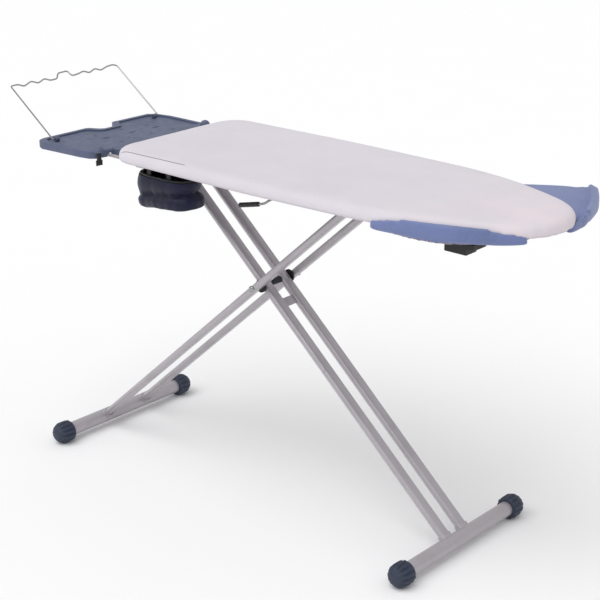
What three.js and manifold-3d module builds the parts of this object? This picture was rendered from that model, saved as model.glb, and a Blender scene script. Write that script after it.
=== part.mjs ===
// Ironing board with crossed legs, iron tray, tilting rack, two shoulder wings and a pouch.
// Units mm. +X to the nose, +Y away from the user, +Z up. Floor at z = 0.
import * as THREE from 'three';
import { mergeVertices } from 'three/addons/utils/BufferGeometryUtils.js';
import Module from 'manifold-3d';

const wasm = await Module();
wasm.setup();
const { Manifold, Mesh } = wasm;

// ---- driving dimensions ----
const GAP = 0.3;
const DECK = { x0: -360, z0: 853.7, z1: 865.7, corner: 74 };
const PAD = { z1: 883.7, over: 3 };
const HALF_WIDTH = [[-278, 227.1], [-2, 231.2], [102, 231.2], [222, 228.1], [334, 224], [404, 220.9],
  [466, 215.8], [521, 206.6], [563, 197.4], [598, 187.2], [632, 175.4], [664, 163.6], [699, 149.3],
  [735, 133], [770, 110.5], [795, 85.9], [812, 57.3], [821, 28.6], [824, 0]];
const LEG = { pivotX: -6, pivotZ: 552, topZ: 820.5, footZ: 29.45, angle: 41.5, yA: 34, yB: 71 };
const TUBE = { wide: 32, thin: 18 };
const FOOT = { r: 19, half: 228, capIn: 204, capR: 29.5, ribs: 13 };
const WING = { pivot: [733, 33], z0: 833.7, z1: 850.7, lipZ: 874, swing: 44, clear: 6.5 };
const RAIL = { x0: 256, x1: 514, y0: 88, y1: 103, half: 11, lip: 2.6 };
const TRAY = { x0: -662, x1: -356, half: 212, z0: 828, z1: 850, wall: 4 };
const RACK = { x: -618, z: 854.5, half: 190, length: 200, rise: 36, r: 2.2 };
const POUCH = { x0: -290, x1: -122, y0: -205, y1: -125, z0: 750, z1: 824 };
const LEVER = { x: 128, y0: -40, y1: -165, z: 826, r: 3 };
const ORIGIN = [17, 43.8]; // plan point that becomes the frame's origin

const group = new THREE.Group();
group.position.set(-ORIGIN[0], -ORIGIN[1], 0);
const DEG = Math.PI / 180;
const V = (x, y, z) => new THREE.Vector3(x, y, z);

const LOOK = {
  steel: [0x9b969c, 0.38, 0.7], wire: [0xb9babd, 0.25, 0.95], slate: [0x59607f, 0.5, 0],
  navy: [0x2f3a50, 0.6, 0], black: [0x18181b, 0.55, 0], cover: [0xdcd8de, 0.9, 0],
  wing: [0x6f82b8, 0.9, 0], pouch: [0x23284f, 0.9, 0], zinc: [0xa9a9a6, 0.4, 0.85],
  nylon: [0xe6e4de, 0.5, 0],
};

function add(name, geometry, look) {
  const [color, roughness, metalness] = LOOK[look];
  const mesh = new THREE.Mesh(geometry, new THREE.MeshStandardMaterial({ color, roughness, metalness }));
  mesh.name = name;
  group.add(mesh);
}

// ---- solid helpers ----
function toSolid(geometry) {
  const g = geometry.clone();
  for (const k of Object.keys(g.attributes)) if (k !== 'position') g.deleteAttribute(k);
  const m = mergeVertices(g, 1e-3);
  return new Manifold(new Mesh({ numProp: 3, vertProperties: new Float32Array(m.attributes.position.array),
    triVerts: new Uint32Array(m.index.array) }));
}

function fromSolid(solid) {
  const m = solid.getMesh();
  const g = new THREE.BufferGeometry();
  g.setAttribute('position', new THREE.BufferAttribute(new Float32Array(m.vertProperties), 3));
  g.setIndex(new THREE.BufferAttribute(new Uint32Array(m.triVerts), 1));
  const flat = g.toNonIndexed();
  flat.computeVertexNormals();
  return flat;
}

const cut = (base, ...tools) => fromSolid(tools.reduce((s, t) => s.subtract(toSolid(t)), toSolid(base)));
const join = (...parts) => fromSolid(parts.map(toSolid).reduce((a, b) => a.add(b)));

function box(x0, x1, y0, y1, z0, z1) {
  const g = new THREE.BoxGeometry(x1 - x0, y1 - y0, z1 - z0);
  return g.translate((x0 + x1) / 2, (y0 + y1) / 2, (z0 + z1) / 2);
}

// Plate from an outline in plan, with an optional rounded edge.
function plate(points, z0, z1, round = 0, steps = 2, holes = []) {
  const shape = new THREE.Shape(points.map(p => new THREE.Vector2(p[0], p[1])));
  holes.forEach(h => shape.holes.push(new THREE.Path(h.map(p => new THREE.Vector2(p[0], p[1])))));
  const g = new THREE.ExtrudeGeometry(shape, { depth: z1 - z0 - 2 * round, bevelEnabled: round > 0,
    bevelThickness: round, bevelSize: round, bevelOffset: -round, bevelSegments: steps, curveSegments: 6 });
  return g.translate(0, 0, z0 + round);
}

// Cylinder along Y.
function barY(x, z, r, y0, y1, seg = 20) {
  return new THREE.CylinderGeometry(r, r, y1 - y0, seg).translate(x, (y0 + y1) / 2, z);
}

// Cylinder along Z.
function postZ(x, y, r, z0, z1, seg = 20) {
  return new THREE.CylinderGeometry(r, r, z1 - z0, seg).rotateX(Math.PI / 2).translate(x, y, (z0 + z1) / 2);
}

// Round wire bent along straight runs with rounded corners.
function wire(points, r, bend = 6, seg = 8) {
  const path = new THREE.CurvePath();
  let from = points[0];
  for (let i = 1; i < points.length - 1; i++) {
    const p = points[i], a = points[i - 1].clone().sub(p), b = points[i + 1].clone().sub(p);
    const d = Math.min(bend, a.length() * 0.45, b.length() * 0.45);
    const q0 = p.clone().addScaledVector(a.normalize(), d);
    const q1 = p.clone().addScaledVector(b.normalize(), d);
    path.add(new THREE.LineCurve3(from, q0));
    path.add(new THREE.QuadraticBezierCurve3(q0, p, q1));
    from = q1;
  }
  path.add(new THREE.LineCurve3(from, points[points.length - 1]));
  return sweep(path, r, seg);
}

// Closed tube skin along a path of mixed runs, sampled at the ends and inside each bend.
function sweep(path, r, seg) {
  const pts = [];
  path.curves.forEach((c, i) => {
    const n = c.isQuadraticBezierCurve3 ? 3 : 1;
    for (let k = i ? 1 : 0; k <= n; k++) pts.push(c.getPoint(k / n));
  });
  const rings = pts.map((p, i) => {
    const t = pts[Math.min(i + 1, pts.length - 1)].clone().sub(pts[Math.max(i - 1, 0)]).normalize();
    return { p, t };
  });
  let side = Math.abs(rings[0].t.y) < 0.9 ? V(0, 1, 0) : V(0, 0, 1);
  const pos = [], idx = [];
  rings.forEach(({ p, t }) => {
    side = side.clone().addScaledVector(t, -side.dot(t)).normalize();
    const up = t.clone().cross(side);
    for (let k = 0; k < seg; k++) {
      const a = 2 * Math.PI * k / seg;
      const v = p.clone().addScaledVector(side, r * Math.cos(a)).addScaledVector(up, r * Math.sin(a));
      pos.push(v.x, v.y, v.z);
    }
  });
  const n = rings.length;
  for (let i = 0; i < n - 1; i++) for (let k = 0; k < seg; k++) {
    const a = i * seg + k, b = i * seg + (k + 1) % seg;
    idx.push(a, b, a + seg, b, b + seg, a + seg);
  }
  for (let k = 1; k < seg - 1; k++) {
    idx.push(0, k + 1, k);
    idx.push((n - 1) * seg, (n - 1) * seg + k, (n - 1) * seg + k + 1);
  }
  const g = new THREE.BufferGeometry();
  g.setAttribute('position', new THREE.Float32BufferAttribute(pos, 3));
  g.setIndex(idx);
  const flat = g.toNonIndexed();
  flat.computeVertexNormals();
  return flat;
}

// Flips a plan outline to the other side, keeping its winding.
const mirrored = pts => pts.map(([x, y]) => [x, -y]).reverse();

function turned(pts, [cx, cy], deg) {
  const c = Math.cos(deg * DEG), s = Math.sin(deg * DEG);
  return pts.map(([x, y]) => [cx + (x - cx) * c - (y - cy) * s, cy + (x - cx) * s + (y - cy) * c]);
}

// Smooth closed or open outline through corner points.
function smooth(pts, n, closed = true, tension = 0.5) {
  const c = new THREE.CatmullRomCurve3(pts.map(p => V(p[0], p[1], 0)), closed, 'centripetal', tension);
  const out = c.getSpacedPoints(n).map(p => [p.x, p.y]);
  return closed ? out.slice(0, -1) : out;
}

// ---- deck, cover and the metal under it ----
function boardOutline(grow, n = 44) {
  const curve = new THREE.CatmullRomCurve3([...HALF_WIDTH, ...HALF_WIDTH.slice(0, -1).reverse()
    .map(([x, y]) => [x, -y])].map(([x, y]) => V(x, y, 0)), false, 'centripetal');
  const side = curve.getSpacedPoints(n).map(p => [p.x, p.y]);
  const { x0, corner } = DECK, w = HALF_WIDTH[0][1], out = [];
  for (const s of [-1, 1]) for (let i = 0; i <= 5; i++) {
    const a = (s < 0 ? 90 - i * 18 : i * 18) * DEG;
    out.push([x0 + corner - corner * Math.cos(a), s * (w - corner + corner * Math.sin(a))]);
  }
  const all = [...out, ...side].reverse();
  const spaced = all.filter((p, i) => !i || Math.hypot(p[0] - all[i - 1][0], p[1] - all[i - 1][1]) > 3);
  return offset(spaced, grow);
}

// Moves every point of a closed outline outward by d.
function offset(pts, d) {
  const n = pts.length;
  const area = pts.reduce((s, p, i) => s + p[0] * pts[(i + 1) % n][1] - pts[(i + 1) % n][0] * p[1], 0);
  const k = area > 0 ? d : -d;
  return pts.map((p, i) => {
    const a = pts[(i + n - 1) % n], b = pts[(i + 1) % n], l = Math.hypot(b[0] - a[0], b[1] - a[1]);
    return [p[0] + k * (b[1] - a[1]) / l, p[1] - k * (b[0] - a[0]) / l];
  });
}

function slot(cx, cy, lx, ly) {
  return [[cx - lx, cy], [cx - lx * 0.5, cy + ly], [cx + lx * 0.5, cy + ly], [cx + lx, cy],
    [cx + lx * 0.5, cy - ly], [cx - lx * 0.5, cy - ly]];
}

function deck() {
  const vents = [];
  for (let i = 0; i < 5; i++) for (const y of [-125, 0, 125]) vents.push(slot(-150 + i * 130, y, 34, 10));
  add('deck_pan', plate(boardOutline(0), DECK.z0, DECK.z1, 3, 1, vents), 'steel');
  add('cover_pad', plate(boardOutline(PAD.over), DECK.z1 + GAP, PAD.z1, 7, 3), 'cover');
}

// Range a..b on side s of the middle, in rising order.
const between = (s, a, b) => s < 0 ? [-b, -a] : [a, b];

function underside() {
  const top = DECK.z0 - GAP, { x0, x1, y0, y1, half, lip } = RAIL;
  for (const [side, s] of [['near', -1], ['far', 1]]) {
    const f = (a, b) => between(s, a, b);
    add(`rail_${side}`, cut(box(x0, x1, ...f(y0, y1), LEG.topZ - half, LEG.topZ + half),
      box(x0 + 4, x1 - 4, ...f(y0 - 5, y1 - 3), LEG.topZ - half + lip, LEG.topZ + half - lip)), 'zinc');
    const ear = join(box(xA - 16, xA + 16, ...f(56.5, 61.5), LEG.topZ - 15, top),
      box(xA - 26, xA + 26, ...f(56, 74), top - 3.7, top));
    add(`hinge_plate_${side}`, cut(ear, barY(xA, LEG.topZ, 8.4, ...f(49, 69))), 'zinc');
    add(`tray_arm_${side}`, wire([V(-295, s * 150, 833.8), V(-600, s * 150, 833.8)], 4.5, 6, 10), 'steel');
    add(`arm_clip_${side}`, cut(box(-330, -296, ...f(136, 164), 825, top),
      box(-340, -290, ...f(145.1, 154.9), 828.9, 838.7)), 'zinc');
  }
  for (const [end, x] of [['rear', 270], ['front', 396]]) {
    const foot = s => box(x - 9, x + 9, ...between(s, y1 - 4, y1), LEG.topZ + half + GAP, top - 1);
    add(`rail_strap_${end}`, join(box(x - 9, x + 9, -y1, y1, top - 3.7, top), foot(-1), foot(1)), 'zinc');
  }
}

const rad = LEG.angle * DEG;
const topRun = (LEG.topZ - LEG.pivotZ) / Math.sin(rad);
const footRun = (LEG.pivotZ - LEG.footZ) / Math.sin(rad);
const xA = LEG.pivotX - topRun * Math.cos(rad);
const xB = LEG.pivotX + topRun * Math.cos(rad);

// ---- legs ----
function ovalTube(dir, y) {
  const w = TUBE.wide / 2, t = TUBE.thin / 2, pts = [];
  for (let i = 0; i < 20; i++) {
    const a = 2 * Math.PI * i / 20, c = Math.cos(a), s = Math.sin(a);
    pts.push([t * s, Math.sign(c) * (w - t) + t * c]);
  }
  const length = topRun + footRun - 8 - FOOT.r - 0.6;
  const g = plate(pts, 0, length);
  const tilt = new THREE.Matrix4().makeBasis(V(-Math.sin(rad), 0, -dir * Math.cos(rad)), V(0, 1, 0),
    V(dir * Math.cos(rad), 0, -Math.sin(rad)));
  return g.applyMatrix4(new THREE.Matrix4().makeTranslation(0, 0, 8.3)).applyMatrix4(tilt)
    .translate(dir > 0 ? xA : xB, y, LEG.topZ);
}

function legs() {
  for (const [leg, dir, y, xTop, reach] of [['a', 1, LEG.yA, xA, 66], ['b', -1, LEG.yB, xB, 87.7]]) {
    const xFoot = LEG.pivotX + dir * footRun * Math.cos(rad);
    for (const [side, s] of [['near', -1], ['far', 1]]) {
      const bore = barY(LEG.pivotX, LEG.pivotZ, 5.3, s * y - 30, s * y + 30, 16);
      add(`leg_${leg}_tube_${side}`, cut(ovalTube(dir, s * y), bore), 'steel');
      add(`foot_cap_${leg}_${side}`, footCap(xFoot, s), 'navy');
    }
    add(`foot_bar_${leg}`, join(barY(xFoot, LEG.footZ, FOOT.r, -FOOT.half, FOOT.half, 32),
      weld(dir, -y, xFoot), weld(dir, y, xFoot)), 'steel');
    add(`top_bar_${leg}`, barY(xTop, LEG.topZ, 8, -reach, reach, 20), 'steel');
  }
  for (const [side, s] of [['near', -1], ['far', 1]]) {
    const f = (a, b) => between(s, a, b);
    add(`rail_glide_${side}`, barY(xB, LEG.topZ, 8, ...f(88, 99.7), 20), 'nylon');
    add(`pivot_bush_${side}`, cut(barY(LEG.pivotX, LEG.pivotZ, 17, ...f(50.3, 54.7), 24),
      barY(LEG.pivotX, LEG.pivotZ, 5.3, ...f(40, 60), 16)), 'black');
    add(`pivot_cap_${side}`, dome(s), 'wire');
  }
  add('pivot_rod', barY(LEG.pivotX, LEG.pivotZ, 5, -87.6, 87.6, 16), 'zinc');
  add('pivot_spacer', cut(barY(LEG.pivotX, LEG.pivotZ, 9, -17.6, 17.6, 20),
    barY(LEG.pivotX, LEG.pivotZ, 5.3, -30, 30, 16)), 'black');
  const c = Math.cos(rad), n = Math.sin(rad), d = 64;
  const web = box(-12, 12, -17.7, 17.7, -1.6, 1.6).rotateY(rad);
  add('leg_a_web', web.translate(LEG.pivotX + d * c, 0, LEG.pivotZ - d * n), 'steel');
}

function dome(s) {
  const pts = [[0, 0], [9, 0], [8.4, 1.6], [6, 3.2], [3, 4], [0, 4.2]].map(p => new THREE.Vector2(...p));
  const g = new THREE.LatheGeometry(pts, 16);
  if (s < 0) g.rotateX(Math.PI);
  return g.translate(LEG.pivotX, s * 87.9, LEG.pivotZ);
}

// Weld collar round the leg's lower end, sunk into the bar.
function weld(dir, y, xFoot) {
  const oval = (r, n = 20) => [...Array(n).keys()].map(i => {
    const a = 2 * Math.PI * i / n;
    return [-r * Math.sin(a), Math.sign(Math.cos(a)) * 7 + r * Math.cos(a)];
  });
  const g = cut(plate(oval(12), 0, 12), plate(oval(TUBE.thin / 2 + 0.35), 3.9, 20));
  const m = new THREE.Matrix4().makeBasis(V(Math.sin(rad), 0, dir * Math.cos(rad)), V(0, 1, 0),
    V(-dir * Math.cos(rad), 0, Math.sin(rad)));
  return g.applyMatrix4(m).translate(xFoot - dir * 15 * Math.cos(rad), y, LEG.footZ + 15 * Math.sin(rad));
}

// Ribbed knob turned about its own axis: rings of [along, radius, groove depth].
function ribbed(rings, ribs) {
  const n = ribs * 3, pos = [], idx = [];
  rings.forEach(([h, r, groove]) => {
    for (let i = 0; i < n; i++) {
      const a = 2 * Math.PI * i / n, q = r - (i % 3 === 0 ? groove : 0);
      pos.push(q * Math.cos(a), h, -q * Math.sin(a));
    }
  });
  for (let k = 0; k < rings.length - 1; k++) for (let i = 0; i < n; i++) {
    const a = k * n + i, b = k * n + (i + 1) % n;
    idx.push(a, b, a + n, b, b + n, a + n);
  }
  const base = pos.length / 3, last = (rings.length - 1) * n;
  pos.push(0, rings[0][0], 0, 0, rings[rings.length - 1][0], 0);
  for (let i = 0; i < n; i++) idx.push(base, (i + 1) % n, i, base + 1, last + i, last + (i + 1) % n);
  const g = new THREE.BufferGeometry();
  g.setAttribute('position', new THREE.Float32BufferAttribute(pos, 3));
  g.setIndex(idx);
  return g;
}

function footCap(x, s) {
  const R = FOOT.capR;
  const g = ribbed([[0, R - 3.4, 0.4], [3, R - 0.5, 3.4], [14, R, 3.9], [30, R, 3.9], [40, R - 4, 3.4],
    [47, R - 10, 1.2], [51, R - 17, 0]], FOOT.ribs);
  if (s < 0) g.rotateX(Math.PI);
  g.translate(x, s * FOOT.capIn, LEG.footZ);
  const hole = between(s, FOOT.capIn - 5, FOOT.half + GAP);
  return cut(g, barY(x, LEG.footZ, FOOT.r + GAP, ...hole, 32));
}

// ---- shoulder wings ----
const WING_OUT = [[420, -14], [424, -40], [440, -110], [460, -178], [478, -198], [505, -203],
  [570, -207], [619, -200], [646, -191], [677, -172], [702, -148], [722, -122], [745, -95], [766, -62],
  [768, -34], [757, -12], [735, -7.5], [690, -9], [600, -10], [500, -11]];
// Width of the raised lip at each x, and its layers as [from x, to x, z0, z1].
const LIP_WIDE = [[470, 5], [515, 9], [570, 13], [619, 16], [646, 17], [677, 14], [707, 11],
  [750, 9], [790, 6]];
const LIP_LEVELS = [[532, 712, 839, 853], [500, 752, 850, 863], [520, 742, 860, 869],
  [545, 728, 866, WING.lipZ]];

// Straight-line value of a table of [x, value] rows.
function table(rows, x) {
  const i = Math.max(1, rows.findIndex(r => r[0] >= x)), [a, b] = [rows[i - 1], rows[i]];
  return a[1] + (b[1] - a[1]) * (x - a[0]) / (b[0] - a[0]);
}

// Crescent outside the board's near edge from x = from to x = to.
function lipOutline(from, to, n = 12) {
  const inner = [], outer = [];
  for (let i = 0; i <= n; i++) {
    const x = from + (to - from) * i / n, y = -table(HALF_WIDTH, x);
    const slope = (table(HALF_WIDTH, x + 4) - table(HALF_WIDTH, x - 4)) / 8, k = 1 / Math.hypot(1, slope);
    const at = d => [x - d * slope * k, y - d * k];
    inner.push(at(WING.clear));
    outer.push(at(WING.clear + table(LIP_WIDE, x)));
  }
  return [...outer, ...inner.reverse()];
}

function wings() {
  const [cx, cy] = WING.pivot, { z0, z1, swing } = WING, low = z0 + 5.3;
  const outline = smooth(WING_OUT, 44), plateOut = offset(outline, -9);
  const place = (pts, s) => s < 0 ? pts : turned(mirrored(pts), [cx, cy], -swing);
  for (const [side, s] of [['near', -1], ['far', 1]]) {
    const centre = s < 0 ? [cx, -cy] : [cx, cy];
    const lips = LIP_LEVELS.map(([from, to, a, b]) => plate(place(lipOutline(from, to), s), a, b));
    const pad = join(plate(place(outline, s), low, z1, 4, 1), ...lips);
    add(`wing_pad_${side}`, cut(pad, postZ(...centre, 13, 800, 860, 24)), 'wing');
    add(`wing_plate_${side}`, cut(plate(place(plateOut, s), z0, z0 + 5),
      postZ(...centre, 9.4, 800, 860, 20)), 'slate');
    add(`wing_post_${side}`, postZ(...centre, 9, z0 - 0.4, DECK.z0 - GAP, 20), 'zinc');
  }
  const block = (x0, x1, y0, y1, lo, hi) =>
    plate([[x0, y0], [x1, y0], [x1, y1], [x0, y1]], lo, hi, 1.5, 1);
  const top = z0 - GAP;
  add('wing_hub', join(block(606, 700, -152, -106, top - 14, top),
    block(621, 679, -150, -112, top - 29, top - 12)), 'black');
}

// ---- pouch ----
function pouch() {
  const { x0, x1, y0, y1, z0, z1 } = POUCH;
  const ring = (d, k = 22) => [[x0 + d + k, y0 + d], [x1 - d - k, y0 + d], [x1 - d, y0 + d + k * 0.8],
    [x1 - d, y1 - d - k * 0.8], [x1 - d - k, y1 - d], [x0 + d + k, y1 - d], [x0 + d, y1 - d - k * 0.8],
    [x0 + d, y0 + d + k * 0.8]];
  const body = join(plate(smooth(ring(0), 26), z0 + 26, z1, 3, 1),
    plate(smooth(ring(3), 26), z0, z0 + 36, 10, 2));
  add('pouch_bag', cut(body, plate(smooth(ring(6), 26), z0 + 7, z1 + 10)), 'pouch');
  const hooks = [];
  for (const x of [x0 + 50, x1 - 50]) for (const y of [y0 + 3.5, y1 - 3.5]) {
    hooks.push(box(x - 7, x + 7, y - 2.2, y + 2.2, z1 + 2, DECK.z0 - GAP));
  }
  add('pouch_rim', join(cut(plate(smooth(ring(1), 26), z1 + 0.4, z1 + 4.4),
    plate(smooth(ring(6), 26), z1 - 9, z1 + 9)), ...hooks), 'black');
}

// ---- height lever ----
function lever() {
  const { x, y0, y1, z, r } = LEVER;
  const rod = [V(x, y0, z), V(x, y1, z), V(x - 14, y1 - 4, z - 11), V(x - 84, y1 - 4, z - 27)];
  add('lever_rod', wire(rod, r, 8, 10), 'wire');
  const tip = wire([V(x - 32, y1 - 4, z - 15.114), V(x - 92, y1 - 4, z - 28.829)], 6, 4, 14);
  const hole = wire([V(x - 20, y1 - 4, z - 12.371), V(x - 84.6, y1 - 4, z - 27.137)], r + GAP, 4, 14);
  add('lever_grip', cut(tip, hole), 'black');
  for (const [side, y] of [['inner', -62], ['outer', -140]]) {
    add(`lever_clip_${side}`, cut(box(x - 9, x + 9, y - 6, y + 6, z - 6.5, DECK.z0 - GAP),
      barY(x, z, r + 0.4, y - 10, y + 10, 16)), 'black');
  }
  add('lever_cam', cut(box(x - 22, x + 6, -54, -46, z - 6, z + 6),
    barY(x, z, r + GAP, -60, -40, 16)), 'zinc');
}

// ---- iron tray and rack ----
function trayOutline(d) {
  const { x0, x1, half } = TRAY, h = half - d, a = x0 + d, b = x1;
  return [[b, -118 + d * 0.3], [b, h], [-460, h + 4], [-590, h + 6], [-632, h - 2], [a + 2, h - 22],
    [a, 58 + d], [a + 10, 49 + d], [a + 32, 36 + d], [a + 40, 28 + d], [a + 40, -6 - d],
    [a + 32, -16 - d], [a + 8, -28 - d], [a, -38 - d], [a, -h + 24], [a + 6, -h + 8], [a + 22, -h],
    [-500, -h + 8], [-468, -h + 14], [-452, -h + 28], [-440, -138 + d * 0.3]];
}

const KNOBS = [['near', -438, -190], ['far', -438, 196]];
const VENTS = [[-547, -66], [-543, 24], [-538, 106]];
const STUDS = [[-588, -70], [-588, 22], [-510, -20], [-490, -66], [-575, 108], [-500, 50], [-486, 120]];

// Round body from a profile of [radius, height], turned about Z.
function turnedZ(profile, seg) {
  return new THREE.LatheGeometry(profile.map(p => new THREE.Vector2(...p)), seg).rotateX(Math.PI / 2);
}

function tray() {
  const { x1, z0, z1, wall } = TRAY;
  const vents = VENTS.map(([x, y]) => plate([[x - 4.5, y - 13], [x + 4.5, y - 9],
    [x + 4.5, y + 13], [x - 4.5, y + 9]], z0, z1));
  const open = trayOutline(wall + 1).map(([x, y]) => [x > x1 - 2 ? x1 + 5 : x, y]);
  const hollow = plate(open, z0 - 2, z1 - 7);
  const inset = plate(trayOutline(14).map(([x, y]) => [x > -470 ? -466 : x, y]), z1 - 4, z1 + 4);
  const holes = KNOBS.map(([, x, y]) => postZ(x, y, 6.4, z0 - 3, z1 + 3, 16));
  const notches = [-150, 150].map(y => box(-480, x1 + 9, y - 5.5, y + 5.5, z0 - 2, 839.5));
  const shell = cut(plate(trayOutline(0), z0, z1, 2.5, 1), hollow, inset, ...vents, ...holes, ...notches);
  const studs = STUDS.map(([x, y]) =>
    turnedZ([[0, -2], [5, -2], [5, 0], [4.2, 1.4], [0, 2.2]], 10).translate(x, y, z1 - 4));
  add('tray_shell', join(shell, ...studs), 'slate');
  for (const [side, x, y] of KNOBS) knob(side, x, y);
  for (const [side, s] of [['near', -1], ['far', 1]]) rackClip(side, s);
  rack();
}

function knob(side, x, y) {
  const z = TRAY.z1 + GAP;
  const g = turnedZ([[0, 0], [13.5, 0], [13.5, 3], [12, 8], [8.5, 12], [4, 14], [0, 14.5]], 24);
  add(`knob_${side}`, cut(g.translate(x, y, z), box(x - 20, x - 3, y - 1.2, y + 1.2, z + 6, z + 20)),
    'slate');
  add(`knob_clip_${side}`, join(postZ(x, y, 6, TRAY.z0 - 1, z - GAP, 16), ...[-1, 0, 1].map(k =>
    box(x - 2 + 0.5 * k, x + 2 + 0.5 * k, y + 7 * k - 2, y + 7 * k + 2, TRAY.z0 - 13, TRAY.z0 + 1)),
    box(x - 3, x + 3, y - 9, y + 9, TRAY.z0 - 4, TRAY.z0 - 0.5)), 'black');
}

function rackClip(side, s) {
  const y = s * 176;
  add(`rack_clip_${side}`, cut(barY(RACK.x, RACK.z - 2.2, 6, y - 6, y + 6, 18),
    barY(RACK.x, RACK.z, RACK.r + 0.35, y - 12, y + 12, 16)), 'slate');
}

// Toothed outer edge of the rack as [y, distance from its axle].
const TOOTH = [[-165, 201], [-150, 191], [-118, 203], [-100, 192], [-72, 203], [-58, 193], [-34, 194],
  [-18, 212], [16, 214], [20, 194], [42, 196], [68, 202], [82, 192], [110, 203], [125, 193],
  [155, 202], [178, 204]];

function rack() {
  const c = Math.cos(RACK.rise * DEG), s = Math.sin(RACK.rise * DEG);
  const at = (y, u) => V(RACK.x - u * c, y, RACK.z + u * s);
  const pts = [at(-166, 0), at(-RACK.half, 0), at(-RACK.half, RACK.length),
    ...TOOTH.map(([y, u]) => at(y, u)), at(RACK.half, RACK.length - 2), at(RACK.half, 0), at(166, 0)];
  add('rack_wire', wire(pts, RACK.r, 6, 6), 'wire');
}

deck();
underside();
legs();
wings();
pouch();
lever();
tray();

export default group;
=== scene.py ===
"""Ironing board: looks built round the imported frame. Metres, Z up, nose towards +X, user at -Y."""

import math

import bmesh
import bpy
import numpy as np
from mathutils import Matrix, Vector, noise


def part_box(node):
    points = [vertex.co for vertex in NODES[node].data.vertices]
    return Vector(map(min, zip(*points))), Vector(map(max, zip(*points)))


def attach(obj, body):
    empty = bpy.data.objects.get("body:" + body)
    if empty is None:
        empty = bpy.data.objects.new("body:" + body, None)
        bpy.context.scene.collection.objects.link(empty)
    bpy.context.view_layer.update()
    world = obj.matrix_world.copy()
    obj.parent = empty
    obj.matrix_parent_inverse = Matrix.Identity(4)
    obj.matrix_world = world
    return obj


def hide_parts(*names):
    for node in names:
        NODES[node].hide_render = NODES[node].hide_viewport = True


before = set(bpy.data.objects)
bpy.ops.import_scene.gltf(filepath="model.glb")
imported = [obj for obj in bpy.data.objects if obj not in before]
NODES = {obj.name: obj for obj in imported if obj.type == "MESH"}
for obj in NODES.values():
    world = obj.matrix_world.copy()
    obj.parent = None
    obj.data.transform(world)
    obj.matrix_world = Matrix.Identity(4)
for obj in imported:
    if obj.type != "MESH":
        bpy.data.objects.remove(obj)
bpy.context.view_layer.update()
SCENE = bpy.context.scene
MM = 0.001

# ---- camera, lights, floor ----
CAMERA_AT = (2.43704, -2.76152, 1.83438)
CAMERA_AZIMUTH, CAMERA_ELEVATION = 41.166, 20.006
LENS = 92.02
SKY = 0.66
SUN = {"strength": 1.42, "azimuth": -14.0, "elevation": 60.0, "softness": 60.0}
FLOOR_HALF = 40.0
FLOOR_TONE = (0.96, 0.96, 0.965)
FLOOR_SHADE = (0.95, 0.95, 0.955)


def camera():
    data = bpy.data.cameras.new("camera")
    data.lens, data.sensor_width, data.clip_end = LENS, 36.0, 200.0
    obj = bpy.data.objects.new("camera", data)
    obj.location = CAMERA_AT
    tilt, pan = math.radians(90 - CAMERA_ELEVATION), math.radians(CAMERA_AZIMUTH)
    obj.rotation_euler = (tilt, 0, pan)
    SCENE.collection.objects.link(obj)
    SCENE.camera = obj


def lights():
    world = bpy.data.worlds.new("studio")
    world.use_nodes = True
    background = world.node_tree.nodes["Background"]
    background.inputs["Color"].default_value = (1.0, 1.0, 1.0, 1)
    background.inputs["Strength"].default_value = SKY
    SCENE.world = world
    sun = bpy.data.lights.new("key", "SUN")
    sun.energy, sun.angle = SUN["strength"], math.radians(SUN["softness"])
    obj = bpy.data.objects.new("key", sun)
    obj.rotation_euler = (math.radians(90 - SUN["elevation"]), 0, math.radians(SUN["azimuth"]))
    SCENE.collection.objects.link(obj)
    SCENE.view_settings.view_transform = "Standard"


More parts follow.
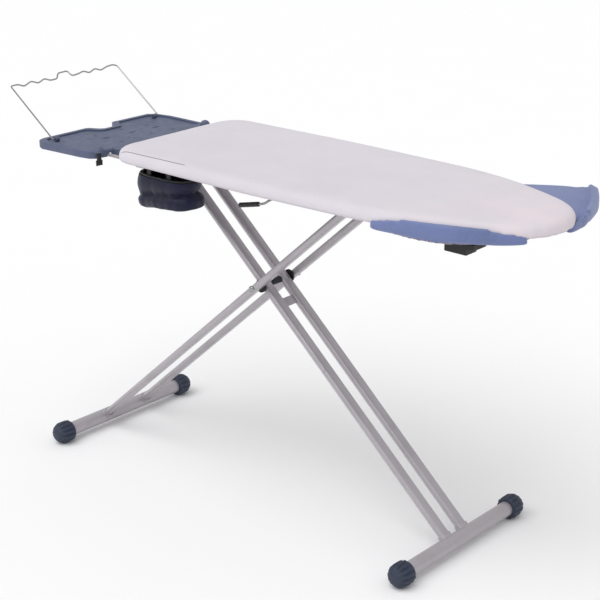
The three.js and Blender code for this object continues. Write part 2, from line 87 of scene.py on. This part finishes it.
# ---- node helpers ----
class Look:
    """A node material: a Principled shader with helpers that add texture nodes."""

    def __init__(self, name, color, roughness, metallic=0.0, **extra):
        self.material = bpy.data.materials.new(name)
        self.material.use_nodes = True
        self.tree = self.material.node_tree
        self.shader = self.tree.nodes["Principled BSDF"]
        self.base = (*color, 1)
        self.set("Base Color", self.base)
        self.set("Roughness", roughness)
        self.set("Metallic", metallic)
        for key, value in extra.items():
            self.set(key.replace("_", " ").title().replace("Ior", "IOR"), value)
        self.space = self.node("ShaderNodeTexCoord").outputs["Object"]
        self.height = None

    def set(self, name, value):
        self.shader.inputs[name].default_value = value

    def node(self, kind, **values):
        node = self.tree.nodes.new(kind)
        for key, value in values.items():
            setattr(node, key, value)
        return node

    def link(self, a, b):
        self.tree.links.new(a, b)

    def stretched(self, scale):
        mapping = self.node("ShaderNodeMapping")
        mapping.inputs["Scale"].default_value = scale
        self.link(self.space, mapping.inputs["Vector"])
        return mapping.outputs["Vector"]

    def noise(self, scale, detail=3.0, stretch=(1, 1, 1)):
        tex = self.node("ShaderNodeTexNoise")
        tex.inputs["Scale"].default_value = scale
        tex.inputs["Detail"].default_value = detail
        self.link(self.stretched(stretch), tex.inputs["Vector"])
        return tex.outputs["Fac"]

    def threads(self, pitch, axis, wobble=0.6):
        tex = self.node("ShaderNodeTexWave", bands_direction=axis)
        tex.inputs["Scale"].default_value = 0.31 / pitch
        tex.inputs["Distortion"].default_value = wobble
        tex.inputs["Detail Scale"].default_value = 2.0
        self.link(self.space, tex.inputs["Vector"])
        return tex.outputs["Fac"]

    def ramp(self, source, low, high, a=0.0, b=1.0):
        out = self.node("ShaderNodeMapRange")
        for key, value in (("From Min", low), ("From Max", high), ("To Min", a), ("To Max", b)):
            out.inputs[key].default_value = value
        self.link(source, out.inputs["Value"])
        return out.outputs["Result"]

    def math(self, operation, a, b=None):
        out = self.node("ShaderNodeMath", operation=operation)
        for socket, value in zip(out.inputs, (a, b)):
            if value is None:
                continue
            if isinstance(value, (int, float)):
                socket.default_value = value
            else:
                self.link(value, socket)
        return out.outputs["Value"]

    def tint(self, factor, color):
        """Mixes a colour over the base colour by a factor that varies over the surface."""
        mix = self.node("ShaderNodeMix", data_type="RGBA")
        self.link(factor, mix.inputs["Factor"])
        base = self.shader.inputs["Base Color"]
        if base.is_linked:
            self.link(base.links[0].from_socket, mix.inputs["A"])
        else:
            mix.inputs["A"].default_value = self.base
        mix.inputs["B"].default_value = (*color, 1)
        self.link(mix.outputs["Result"], base)

    def roughness_from(self, factor, low, high):
        self.link(self.ramp(factor, 0.3, 0.7, low, high), self.shader.inputs["Roughness"])

    def bump(self, height, depth, strength=1.0):
        bump = self.node("ShaderNodeBump")
        bump.inputs["Distance"].default_value = depth
        bump.inputs["Strength"].default_value = strength
        self.link(height, bump.inputs["Height"])
        if self.height is not None:
            self.link(self.height, bump.inputs["Normal"])
        self.height = bump.outputs["Normal"]
        self.link(self.height, self.shader.inputs["Normal"])

    def axis(self, index):
        """Coordinate along X, Y or Z, in metres."""
        split = self.node("ShaderNodeSeparateXYZ")
        self.link(self.space, split.inputs["Vector"])
        return split.outputs[index]

    def edge_highlight_mask(self, radius=0.0012):
        """Mask of a painted highlight along rounded edges, broken up by noise."""
        rounded = self.node("ShaderNodeBevel", samples=3)
        dot = self.node("ShaderNodeVectorMath", operation="DOT_PRODUCT")
        rounded.inputs["Radius"].default_value = radius
        self.link(rounded.outputs["Normal"], dot.inputs[0])
        self.link(self.node("ShaderNodeNewGeometry").outputs["Normal"], dot.inputs[1])
        edge = self.ramp(dot.outputs["Value"], 0.985, 0.90, 0.0, 0.7)
        return self.math("MULTIPLY", edge, self.ramp(self.noise(70.0, 4.0), 0.35, 0.6))


def fabric(name, color, pitch, weave_depth, mottle=0.92, sheen=0.25, roughness=0.88):
    """Woven cloth: pitch and weave_depth in metres, mottle the darkest share of the colour."""
    look = Look(name, color, roughness, sheen_weight=sheen, sheen_roughness=0.5, specular_ior_level=0.25)
    dark = tuple(c * mottle for c in color)
    look.tint(look.ramp(look.noise(7.0, 4.0), 0.42, 0.62), dark)
    look.tint(look.ramp(look.noise(260.0, 2.0), 0.35, 0.75, 0.0, 0.35), tuple(c * 0.9 for c in color))
    weave = look.math("MULTIPLY", look.threads(pitch, "X"), look.threads(pitch, "Y"))
    look.bump(weave, weave_depth, 0.6)
    look.bump(look.noise(38.0, 4.0), 0.0011, 0.55)
    look.roughness_from(look.noise(30.0), roughness - 0.06, min(1.0, roughness + 0.08))
    return look


def paler(color):
    """A paler version of a colour, for pale scuffs and for painted edge highlights."""
    return tuple(min(1, c * 1.35 + 0.01) for c in color)


def plastic(name, color, roughness, grain=420.0):
    """Moulded plastic: cloudy shade, pale scuffs and fine grain."""
    look = Look(name, color, roughness, specular_ior_level=0.45)
    look.tint(look.ramp(look.noise(16.0, 4.0), 0.4, 0.66), tuple(c * 0.84 for c in color))
    look.tint(look.ramp(look.noise(55.0, 6.0), 0.6, 0.74, 0.0, 0.35), paler(color))
    look.roughness_from(look.noise(45.0), roughness - 0.07, roughness + 0.1)
    look.bump(look.noise(grain, 2.0), 0.0003, 0.5)
    return look


def metal(name, color, roughness, metallic, streak=(1, 1, 1), fleck=0.2):
    """Painted or plated metal: bright flecks, dull patches and fine streaks."""
    look = Look(name, color, roughness, metallic)
    flecks = look.ramp(look.noise(900.0, 1.0), 0.45, 0.7, 0.0, fleck)
    look.tint(flecks, tuple(min(1, c * 1.5) for c in color))
    look.tint(look.ramp(look.noise(11.0, 5.0, streak), 0.5, 0.72, 0.0, 0.5), tuple(c * 0.8 for c in color))
    look.roughness_from(look.noise(24.0, 4.0, streak), roughness - 0.05, roughness + 0.1)
    look.bump(look.noise(520.0, 2.0, streak), 0.00012, 0.35)
    return look


COVER_TONE = (0.70, 0.665, 0.72)
WING_TONE = (0.165, 0.207, 0.405)
POUCH_TONE = (0.0075, 0.009, 0.040)
BLUSH = {"x0": 0.40, "x1": 0.78, "tone": (0.80, 0.69, 0.72)}  # warm tint growing towards the nose
# painted shade on the cover where it turns in under the deck
COVER_UNDER_PAINTED_SHADE = {"z0": 0.860, "z1": 0.852, "tone": (0.52, 0.47, 0.50)}  # shade of the turned-in edge
MARK_LINE = {"y": -0.2625, "half": 0.0013, "x1": -0.112, "z0": 0.872, "z1": 0.876, "end": 0.004,
             "tone": (0.16, 0.14, 0.15)}  # thin printed line beside the near edge
HEM_TURN = (0.8385, 0.8345)  # heights between which the wing cloth turns to its lining


def cover_look():
    look = fabric("cover_cloth", COVER_TONE, 0.0011, 0.00022, mottle=0.965, sheen=0.12)
    nose = look.ramp(look.axis("X"), BLUSH["x0"], BLUSH["x1"], 0.0, 0.75)
    blush = look.math("MULTIPLY", nose, look.ramp(look.noise(9.0, 3.0), 0.3, 0.7))
    look.tint(blush, BLUSH["tone"])
    # painted shade: the cover darkens below its rounded edge, under the deck
    low = look.ramp(look.axis("Z"), COVER_UNDER_PAINTED_SHADE["z0"], COVER_UNDER_PAINTED_SHADE["z1"], 0.0, 0.55)
    look.tint(low, COVER_UNDER_PAINTED_SHADE["tone"])
    across = look.math("ABSOLUTE", look.math("SUBTRACT", look.axis("Y"), MARK_LINE["y"]))
    line = look.ramp(across, MARK_LINE["half"], MARK_LINE["half"] * 0.55)
    end = look.ramp(look.axis("X"), MARK_LINE["x1"], MARK_LINE["x1"] - MARK_LINE["end"])
    line = look.math("MULTIPLY", line, end)
    line = look.math("MULTIPLY", line, look.ramp(look.axis("Z"), MARK_LINE["z0"], MARK_LINE["z1"]))
    look.tint(line, MARK_LINE["tone"])
    return look.material


def wing_look():
    look = fabric("wing_cloth", WING_TONE, 0.0013, 0.00026, mottle=0.86, sheen=0.35)
    look.tint(look.ramp(look.noise(120.0, 5.0), 0.52, 0.75, 0.0, 0.4), (0.20, 0.25, 0.46))
    return look.material


def hem_look():
    """Wing cloth that turns under, with pale pink lining and dark elastic showing in the gathers."""
    look = fabric("hem_tape", WING_TONE, 0.0012, 0.0003, 0.8)
    inner = look.ramp(look.axis("Z"), *HEM_TURN)
    lining = look.math("MULTIPLY", inner, look.ramp(look.noise(85.0, 3.0), 0.40, 0.50))
    look.tint(lining, (0.34, 0.25, 0.27))
    elastic = look.math("MULTIPLY", inner, look.ramp(look.noise(110.0, 2.0), 0.54, 0.60))
    look.tint(elastic, (0.02, 0.018, 0.022))
    return look.material


def pouch_look():
    look = fabric("pouch_cloth", POUCH_TONE, 0.0009, 0.00018, mottle=0.55, sheen=0.15, roughness=0.5)
    look.tint(look.ramp(look.noise(24.0, 4.0, (1, 1, 3)), 0.55, 0.8, 0.0, 0.5), (0.018, 0.022, 0.085))
    return look.material


def make_looks():
    hard = {
        "steel": metal("leg_paint", (0.43, 0.405, 0.43), 0.32, 0.45, (1, 1, 1), 0.35),
        "wire": metal("bright_wire", (0.36, 0.36, 0.37), 0.24, 0.9),
        "zinc": metal("zinc_plate", (0.42, 0.42, 0.41), 0.4, 0.85, (1, 8, 1), 0.4),
        "slate": plastic("tray_plastic", (0.100, 0.120, 0.200), 0.5),
        "navy": plastic("foot_plastic", (0.030, 0.040, 0.072), 0.55, 300.0),
        "black": plastic("black_plastic", (0.010, 0.010, 0.012), 0.5),
        "nylon": plastic("nylon", (0.78, 0.76, 0.70), 0.5),
    }
    for look in hard.values():
        # painted highlight along the rounded edges of every hard part
        look.tint(look.edge_highlight_mask(), paler(look.base[:3]))
    looks = {key: look.material for key, look in hard.items()}
    looks.update(cover=cover_look(), wing=wing_look(), pouch=pouch_look(), hem=hem_look())
    return looks


# look of each CAD node whose name starts so
NODE_LOOKS = {
    "steel": ["deck_pan", "tray_arm", "leg_a_tube", "leg_b_tube", "leg_a_web", "top_bar", "foot_bar"],
    "wire": ["rack_wire", "lever_rod", "pivot_cap"],
    "zinc": ["rail_near", "rail_far", "rail_strap", "hinge_plate", "arm_clip", "wing_post", "pivot_rod",
             "lever_cam"],
    "slate": ["tray_shell", "knob_near", "knob_far", "rack_clip", "wing_plate"],
    "navy": ["foot_cap"],
    "black": ["knob_clip", "wing_hub", "pouch_rim", "lever_clip", "lever_grip", "pivot_spacer",
              "pivot_bush"],
    "nylon": ["rail_glide"],
    "cover": ["cover_pad"], "wing": ["wing_pad"], "pouch": ["pouch_bag"],
}


SHARP_EDGE = math.radians(38)
JOIN_POINTS = 2e-5


def soft_edges():
    """Node group that joins split points and shades smooth across shallow edges."""
    group = bpy.data.node_groups.new("soft_edges", "GeometryNodeTree")
    for way in ("INPUT", "OUTPUT"):
        group.interface.new_socket("Geometry", in_out=way, socket_type="NodeSocketGeometry")
    new, link = group.nodes.new, group.links.new
    drop = new("GeometryNodeRemoveAttribute")
    drop.inputs["Name"].default_value = "custom_normal"
    merge = new("GeometryNodeMergeByDistance")
    merge.inputs["Distance"].default_value = JOIN_POINTS
    faces = new("GeometryNodeSetShadeSmooth")
    edges = new("GeometryNodeSetShadeSmooth")
    edges.domain = "EDGE"
    edges.inputs["Shade Smooth"].default_value = False
    angle = new("GeometryNodeInputMeshEdgeAngle")
    sharp = new("FunctionNodeCompare")
    sharp.operation = "GREATER_THAN"
    sharp.inputs["B"].default_value = SHARP_EDGE
    link(angle.outputs["Unsigned Angle"], sharp.inputs["A"])
    link(sharp.outputs["Result"], edges.inputs["Selection"])
    chain = [new("NodeGroupInput"), drop, merge, faces, edges, new("NodeGroupOutput")]
    for a, b in zip(chain, chain[1:]):
        link(a.outputs[0], b.inputs[0])
    return group


def dress_nodes(looks):
    group = soft_edges()
    for key, stems in NODE_LOOKS.items():
        for name, node in NODES.items():
            if any(name.startswith(stem) for stem in stems):
                for slot in node.material_slots:
                    slot.material = looks[key]
                node.modifiers.new("soft_edges", "NODES").node_group = group


# ---- mesh helpers ----
def mesh_object(name, points, faces, material, body):
    mesh = bpy.data.meshes.new(name)
    mesh.from_pydata([tuple(map(float, p)) for p in points], [], [tuple(f) for f in faces])
    bm = bmesh.new()
    bm.from_mesh(mesh)
    bmesh.ops.remove_doubles(bm, verts=bm.verts, dist=1e-6)
    bmesh.ops.recalc_face_normals(bm, faces=bm.faces)
    bm.to_mesh(mesh)
    bm.free()
    mesh.polygons.foreach_set("use_smooth", [True] * len(mesh.polygons))
    obj = bpy.data.objects.new(name, mesh)
    SCENE.collection.objects.link(obj)
    mesh.materials.append(material)
    if body:
        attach(obj, body)
    return obj


def coords(mesh):
    out = np.empty(len(mesh.vertices) * 3)
    mesh.vertices.foreach_get("co", out)
    return out.reshape(-1, 3)


def plan_hull(node):
    """Convex outline of a CAD node seen from above, anticlockwise."""
    pts = sorted({(round(x, 5), round(y, 5)) for x, y, _ in coords(NODES[node].data)})

    def chain(points):
        out = []
        for p in points:
            while len(out) > 1 and (out[-1][0] - out[-2][0]) * (p[1] - out[-2][1]) <= (
                    out[-1][1] - out[-2][1]) * (p[0] - out[-2][0]):
                out.pop()
            out.append(p)
        return out[:-1]

    return np.array(chain(pts) + chain(pts[::-1]))


def split_run(a, b, longest=0.085, piece=0.022):
    """A long straight run as short pieces, so that the curve stays straight there."""
    gap = np.linalg.norm(b - a)
    steps = int(gap / piece) if gap > longest else 1
    return a + (b - a) * np.linspace(0, 1, steps, endpoint=False)[:, None]


def even_loop(points, count, first=0):
    """Closed Catmull-Rom loop through the points, resampled to even spacing."""
    pts = np.roll(np.asarray(points), -first, axis=0)
    pts = np.concatenate([split_run(a, b) for a, b in zip(pts, np.roll(pts, -1, axis=0))])
    fine = []
    for i in range(len(pts)):
        p0, p1, p2, p3 = (pts[(i + k - 1) % len(pts)] for k in range(4))
        for t in np.linspace(0, 1, 12, endpoint=False):
            fine.append(0.5 * (2 * p1 + (p2 - p0) * t + (2 * p0 - 5 * p1 + 4 * p2 - p3) * t * t
                               + (3 * p1 - 3 * p2 + p3 - p0) * t ** 3))
    fine = np.array(fine + [fine[0]])
    run = np.concatenate([[0], np.cumsum(np.linalg.norm(np.diff(fine, axis=0), axis=1))])
    at = np.linspace(0, run[-1], count, endpoint=False)
    return np.stack([np.interp(at, run, fine[:, k]) for k in range(2)], axis=1)


def outward(loop):
    """Unit normals of an anticlockwise loop, pointing out of it."""
    d = np.roll(loop, -1, axis=0) - np.roll(loop, 1, axis=0)
    d /= np.linalg.norm(d, axis=1)[:, None]
    return np.stack([d[:, 1], -d[:, 0]], axis=1)


def ring_faces(rings, count, closed=False):
    faces = []
    for r in range(rings if closed else rings - 1):
        a, b = r * count, ((r + 1) % rings) * count
        for i in range(count):
            j = (i + 1) % count
            faces.append((a + i, a + j, b + j, b + i))
    return faces


def wave(u, *terms):
    """Sum of sines of whole turns: terms are (turns, size, phase)."""
    return sum(size * np.sin(2 * math.pi * turns * u + phase) for turns, size, phase in terms)


# ---- board cover ----
COVER_AROUND = 420
COVER_ROWS = 15
COVER_SPINE = (-0.19, 0.63)
COVER_NOSE = 0.09  # how far back from the nose the hem puckers more
COVER_UNEVEN = [((5, 9, 0.3), 0.5), ((28, 40, 1.3), 0.25)]  # (noise scale x, y and seed), size in mm
# offset from the deck's edge and height above its top, mm: outer side, hem, then back inside
COVER_OUTER = [(-46, 18.0), (-32, 17.9), (-21, 17.4), (-12, 16.0), (-5.5, 13.4), (-0.5, 9.4), (2.6, 4.4),
               (4.0, -1.2), (4.3, -6.4), (3.6, -10.6), (1.2, -13.3), (-3, -13.66)]
COVER_HEM = [(-9, -13.66), (-16, -13.66), (-16, -12.45), (-9, -12.45), (-2, -12.45)]
COVER_INNER = [(1.1, -11.6), (1.3, -6), (1.1, 0.0), (-4, 0.3), (-46, 0.3)]


def cover_top(loop, z, rows):
    """Rows from the inset outline to the spine line, where both sides meet."""
    cy = (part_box("deck_pan")[0][1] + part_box("deck_pan")[1][1]) / 2
    spine = np.stack([np.clip(loop[:, 0], *COVER_SPINE), np.full(len(loop), cy)], axis=1)
    out = []
    for k in range(1, rows + 1):
        t = k / rows
        flat = loop + (spine - loop) * t
        out.append(np.column_stack([flat, np.full(len(flat), z)]))
    return out


def board_cover(looks):
    """Padded cover that wraps the deck's edge and ends in a puckered hem below it."""
    deck = plan_hull("deck_pan")
    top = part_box("deck_pan")[1][2]
    loop = even_loop(deck, COVER_AROUND, int(np.argmax(deck[:, 0])))
    normal = outward(loop)
    u = np.arange(COVER_AROUND) / COVER_AROUND
    nose = np.exp(-((loop[:, 0] - loop[:, 0].max()) / COVER_NOSE) ** 2)
    ripple = wave(u, (97, 1.0, 0.3), (61, 0.8, 1.9), (151, 0.6, 4.0))
    rings = []

    def ring(offset, height, pucker=0.0):
        d = (offset + pucker * ripple * (0.25 + 1.3 * nose)) * MM
        flat = loop + normal * np.broadcast_to(d, COVER_AROUND)[:, None]
        rings.append(np.column_stack([flat, np.full(COVER_AROUND, top + height * MM)]))

    for offset, height in COVER_OUTER:
        ring(offset, height, 0.55 if height < 4 else 0.12 if height < 14 else 0)
    for offset, height in COVER_HEM:
        ring(offset, height, 1.6 if offset < -8 else 0)
    for offset, height in COVER_INNER:
        ring(offset, height)
    first = cover_top(rings[0][:, :2], top + COVER_OUTER[0][1] * MM, COVER_ROWS)
    last = cover_top(rings[-1][:, :2], top + COVER_INNER[-1][1] * MM, COVER_ROWS)
    stack = first[::-1] + rings + last
    for rows in stack:
        if rows[0, 2] > top + 6 * MM:
            for p in rows:
                for (sx, sy, seed), size in COVER_UNEVEN:
                    p[2] += size * MM * noise.noise(Vector((p[0] * sx, p[1] * sy, seed)))
    obj = mesh_object("board_cover", np.concatenate(stack), ring_faces(len(stack), COVER_AROUND),
                      looks["cover"], "board")
    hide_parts("cover_pad")


# ---- padded wings ----
WING_VOXEL = 3.2 * MM
WING_PRESSURE = 2.0
WING_CAP = 2.5 * MM
WING_OPEN = math.radians(-44.0)  # turn of the far wing at rest


LIP_SPAN = (0.452, 0.773)
# width of the raised lip along X, metres and mm
LIP_WIDTH = [(0.453, 6.5), (0.498, 10.5), (0.553, 14.5), (0.602, 17.5), (0.629, 18.5), (0.660, 15.5),
             (0.690, 12.5), (0.733, 10.5), (0.773, 7.0)]
LIP_GAP, LIP_LOW, LIP_FLAT, LIP_TOP = 6.5, 839.2, 850.4, 874.0  # mm
LIP_STATIONS = 48


def lip_sections():
    """Closed sections of the lip beside the board's near edge, for a wing swung in."""
    deck = plan_hull("deck_pan")
    middle = (deck[:, 1].min() + deck[:, 1].max()) / 2
    near = deck[deck[:, 1] < middle]
    near = near[np.argsort(near[:, 0])]
    xs = np.linspace(*LIP_SPAN, LIP_STATIONS)
    ys = np.interp(xs, near[:, 0], near[:, 1])
    widths = np.interp(xs, *zip(*LIP_WIDTH))
    sections = []
    run = np.linspace(0.01, 0.99, LIP_STATIONS)
    for x, y, slope, width, t in zip(xs, ys, np.gradient(ys, xs), widths, run):
        rise = math.sin(math.pi * t) ** 0.33
        tall = LIP_FLAT + (LIP_TOP - LIP_FLAT) * rise
        wide, high = width * (0.35 + 0.65 * rise), tall - LIP_LOW
        loop = [(-22, LIP_LOW), (-22, LIP_FLAT), (4.5, LIP_FLAT), (LIP_GAP, LIP_FLAT + 1),
                (LIP_GAP, tall - 1), (LIP_GAP + 0.12 * wide, tall),
                (LIP_GAP + 0.45 * wide, tall - 0.06 * high),
                (LIP_GAP + 0.8 * wide, tall - 0.3 * high), (LIP_GAP + wide, tall - 0.62 * high),
                (LIP_GAP + 0.9 * wide, tall - 0.9 * high), (LIP_GAP + 0.5 * wide, LIP_LOW)]
        size = math.hypot(slope, 1)
        sections.append([(x + slope / size * d * MM, y - d * MM / size, z * MM) for d, z in loop])
    return np.array(sections), middle


def add_lip(bm, side):
    """Adds the smooth lip to a wing's mesh, so that the voxels join them."""
    sections, middle = lip_sections()
    if side == "far":
        low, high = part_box("wing_post_far")
        cx, cy = (low[0] + high[0]) / 2, (low[1] + high[1]) / 2
        x, y = sections[..., 0] - cx, 2 * middle - sections[..., 1] - cy
        c, s = math.cos(WING_OPEN), math.sin(WING_OPEN)
        sections[..., 0], sections[..., 1] = cx + x * c - y * s, cy + x * s + y * c
    count = sections.shape[1]
    verts = [bm.verts.new(tuple(p)) for p in sections.reshape(-1, 3)]
    faces = [bm.faces.new([verts[i] for i in f]) for f in ring_faces(len(sections), count)]
    faces += [bm.faces.new(verts[:count]), bm.faces.new(verts[-count:])]
    bmesh.ops.recalc_face_normals(bm, faces=faces)


def remeshed_wing(side):
    """A voxel copy of a wing's CAD shape with a smooth lip."""
    source = bpy.data.objects.new(f"wing_cover_{side}", NODES[f"wing_pad_{side}"].data.copy())
    SCENE.collection.objects.link(source)
    bm = bmesh.new()
    bm.from_mesh(source.data)
    bmesh.ops.remove_doubles(bm, verts=bm.verts, dist=JOIN_POINTS)
    add_lip(bm, side)
    bm.to_mesh(source.data)
    bm.free()
    mod = source.modifiers.new("voxels", "REMESH")
    mod.mode, mod.voxel_size = "VOXEL", WING_VOXEL
    return applied(source)


def applied(obj):
    """Bakes the modifiers of obj into its mesh."""
    view = bpy.context.evaluated_depsgraph_get()
    mesh = bpy.data.meshes.new_from_object(obj.evaluated_get(view))
    obj.modifiers.clear()
    obj.data = mesh
    for name in [a.name for a in mesh.attributes if a.name == "custom_normal"]:
        mesh.attributes.remove(mesh.attributes[name])
    mesh.polygons.foreach_set("use_smooth", [True] * len(mesh.polygons))
    return obj


def relax(obj, rounds, factor=0.5):
    mod = obj.modifiers.new("relax", "SMOOTH")
    mod.iterations, mod.factor = rounds, factor
    return applied(obj)


def inflate(obj, pressure, cap, frames=20):
    """Cloth under inner pressure, with each point's move capped."""
    rest = coords(obj.data)
    mod = obj.modifiers.new("cloth", "CLOTH")
    cloth = mod.settings
    cloth.quality, cloth.mass = 5, 0.3
    cloth.use_pressure, cloth.uniform_pressure_force = True, pressure
    cloth.effector_weights.gravity = 0
    mod.collision_settings.use_collision = False
    for step in range(1, frames + 1):
        SCENE.frame_set(step)
    view = bpy.context.evaluated_depsgraph_get()
    move = coords(obj.evaluated_get(view).data) - rest
    size = np.linalg.norm(move, axis=1)[:, None]
    move *= np.minimum(1, cap / np.maximum(size, 1e-9))
    obj.modifiers.clear()
    SCENE.frame_set(1)
    obj.data.vertices.foreach_set("co", (rest + move).ravel())
    obj.data.update()
    return obj


def wing(side, looks):
    """Padded cover of a wing."""
    obj = remeshed_wing(side)
    relax(obj, 9)
    inflate(obj, WING_PRESSURE, WING_CAP)
    relax(obj, 4)
    obj.modifiers.new("finer", "SUBSURF").levels = 1
    obj.modifiers["finer"].render_levels = 1
    applied(obj)
    obj.data.materials.clear()
    obj.data.materials.append(looks["wing"])
    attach(obj, f"wing_{side}")
    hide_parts(f"wing_pad_{side}")


# ---- gathered hems under the wings ----
HEM_AROUND = 300
# offset from the wing's outline and height above its plate's underside, mm
HEM_OUTER = [(0.5, 8.5), (0.2, 5.5), (-2.5, 1.8), (-7, -0.5), (-13, -1.2), (-19, -1.6)]
HEM_CLOTH = 1.0 * MM
PLATE_INSET = 9 * MM  # from the wing's outline to its plate's


def wing_hem(side, looks):
    """Elastic hem of a wing cover, puckered over the edge of the wing's plate."""
    hull = plan_hull(f"wing_plate_{side}")
    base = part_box(f"wing_plate_{side}")[0][2]
    loop = even_loop(hull, HEM_AROUND)
    normal = outward(loop)
    loop = loop + normal * PLATE_INSET
    u = np.arange(HEM_AROUND) / HEM_AROUND
    rings = []
    for k, (offset, height) in enumerate(HEM_OUTER):
        t = k / (len(HEM_OUTER) - 1)
        pucker = wave(u, (71, 1.1, 0.2 + t), (43, 1.0, 1.7), (109, 0.8, 3.1 + 2 * t)) * t
        ragged = wave(u, (29, 1.6, 0.5), (53, 1.4, 2.4)) * max(0, t - 0.6) * 2
        flat = loop + normal * ((offset + pucker * 0.8 + ragged) * MM)[:, None]
        z = base + (height - 0.9 * np.abs(pucker)) * MM
        rings.append(np.column_stack([flat, z]))
    inward = np.column_stack([-normal * HEM_CLOTH * 0.3, np.full(HEM_AROUND, HEM_CLOTH)])
    inner = [r + inward for r in rings]
    stack = rings + inner[::-1]
    obj = mesh_object(f"wing_hem_{side}", np.concatenate(stack),
                      ring_faces(len(stack), HEM_AROUND, closed=True), looks["hem"], f"wing_{side}")


# ---- pouch ----
POUCH_AROUND = 192
POUCH_ROWS = 30
POUCH_CLOTH = 1.4 * MM
# inset and drop past the bottom edge, mm
POUCH_UNDER = [(-3.5, -3.0), (-10, -5.0), (-20, -5.6), (-30, -5.0)]


def pouch_ring(loop, normal, along, share, top, depth):
    """One row of the bag, share of the way from the rim to the bottom edge."""
    u = np.arange(len(loop)) / len(loop)
    crease = 0.68 - 0.26 * along
    upper, lower = np.clip(share / crease, 0, 1), np.clip((share - crease) / (1 - crease), 0, 1)
    near = np.exp(-((share - crease) / 0.10) ** 2)
    grow = 0.4 + 4.6 * np.sin(math.pi * upper) * (1.1 - 0.7 * along) - (3.5 + 7.0 * along) * upper ** 4
    belly = np.sin(0.5 * math.pi * np.minimum(1, lower * 1.5))
    grow = grow + (9.5 + 8.0 * along) * belly - 2.5 * lower ** 3
    folds = wave(u, (5, 1.5, 0.4 + 2.2 * share), (9, 1.0, 2.0 + 3.5 * share), (19, 0.5, 1.0 + 2 * share))
    folds = folds * min(1, share * 5) * (0.35 + 1.3 * near + 0.5 * lower)
    flat = loop + normal * ((grow + folds) * MM)[:, None]
    flat[:, 0] += 6 * MM * lower
    sag = wave(u, (1, 1.2, 2.6), (3, 1.3, 0.7), (8, 0.7, 4.1)) * min(1, share * 2) * MM
    z = top - share * depth * (1.06 - 0.20 * along) - 2.5 * MM * near + sag
    return np.column_stack([flat, z])


def pouch(looks):
    """Hanging cloth bag, open at the rim."""
    low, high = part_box("pouch_bag")
    hull = plan_hull("pouch_bag")
    loop = even_loop(hull, POUCH_AROUND, int(np.argmax(hull[:, 0])))
    normal, middle = outward(loop), loop.mean(axis=0)
    along = (loop[:, 0] - low[0]) / (high[0] - low[0])
    rings = [pouch_ring(loop, normal, along, k / POUCH_ROWS, high[2], high[2] - low[2])
             for k in range(POUCH_ROWS + 1)]
    edge = rings[-1]
    for inset, drop in POUCH_UNDER:
        toward = middle - edge[:, :2]
        toward /= np.linalg.norm(toward, axis=1)[:, None]
        rings.append(np.column_stack([edge[:, :2] - toward * inset * MM, edge[:, 2] + drop * MM]))
    points = np.vstack([np.concatenate(rings), [[*middle, rings[-1][:, 2].mean()]]])
    faces = ring_faces(len(rings), POUCH_AROUND)
    last = (len(rings) - 1) * POUCH_AROUND
    faces += [(last + i, last + (i + 1) % POUCH_AROUND, len(points) - 1) for i in range(POUCH_AROUND)]
    obj = mesh_object("pouch_shell", points, faces, looks["pouch"], None)
    shell = obj.modifiers.new("cloth_thickness", "SOLIDIFY")
    shell.thickness, shell.offset = POUCH_CLOTH, -1
    applied(obj)
    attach(obj, "board")
    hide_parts("pouch_bag")


def floor():
    mesh = bpy.data.meshes.new("floor")
    h = FLOOR_HALF
    mesh.from_pydata([(-h, -h, 0), (h, -h, 0), (h, h, 0), (-h, h, 0)], [], [(0, 1, 2, 3)])
    obj = bpy.data.objects.new("floor", mesh)
    SCENE.collection.objects.link(obj)
    look = Look("floor_paper", FLOOR_TONE, 0.9)
    look.tint(look.ramp(look.noise(3.0), 0.3, 0.7, 0.0, 0.5), FLOOR_SHADE)
    mesh.materials.append(look.material)


camera()
lights()
floor()
LOOKS = make_looks()
dress_nodes(LOOKS)
board_cover(LOOKS)
for SIDE in ("near", "far"):
    wing(SIDE, LOOKS)
    wing_hem(SIDE, LOOKS)
pouch(LOOKS)
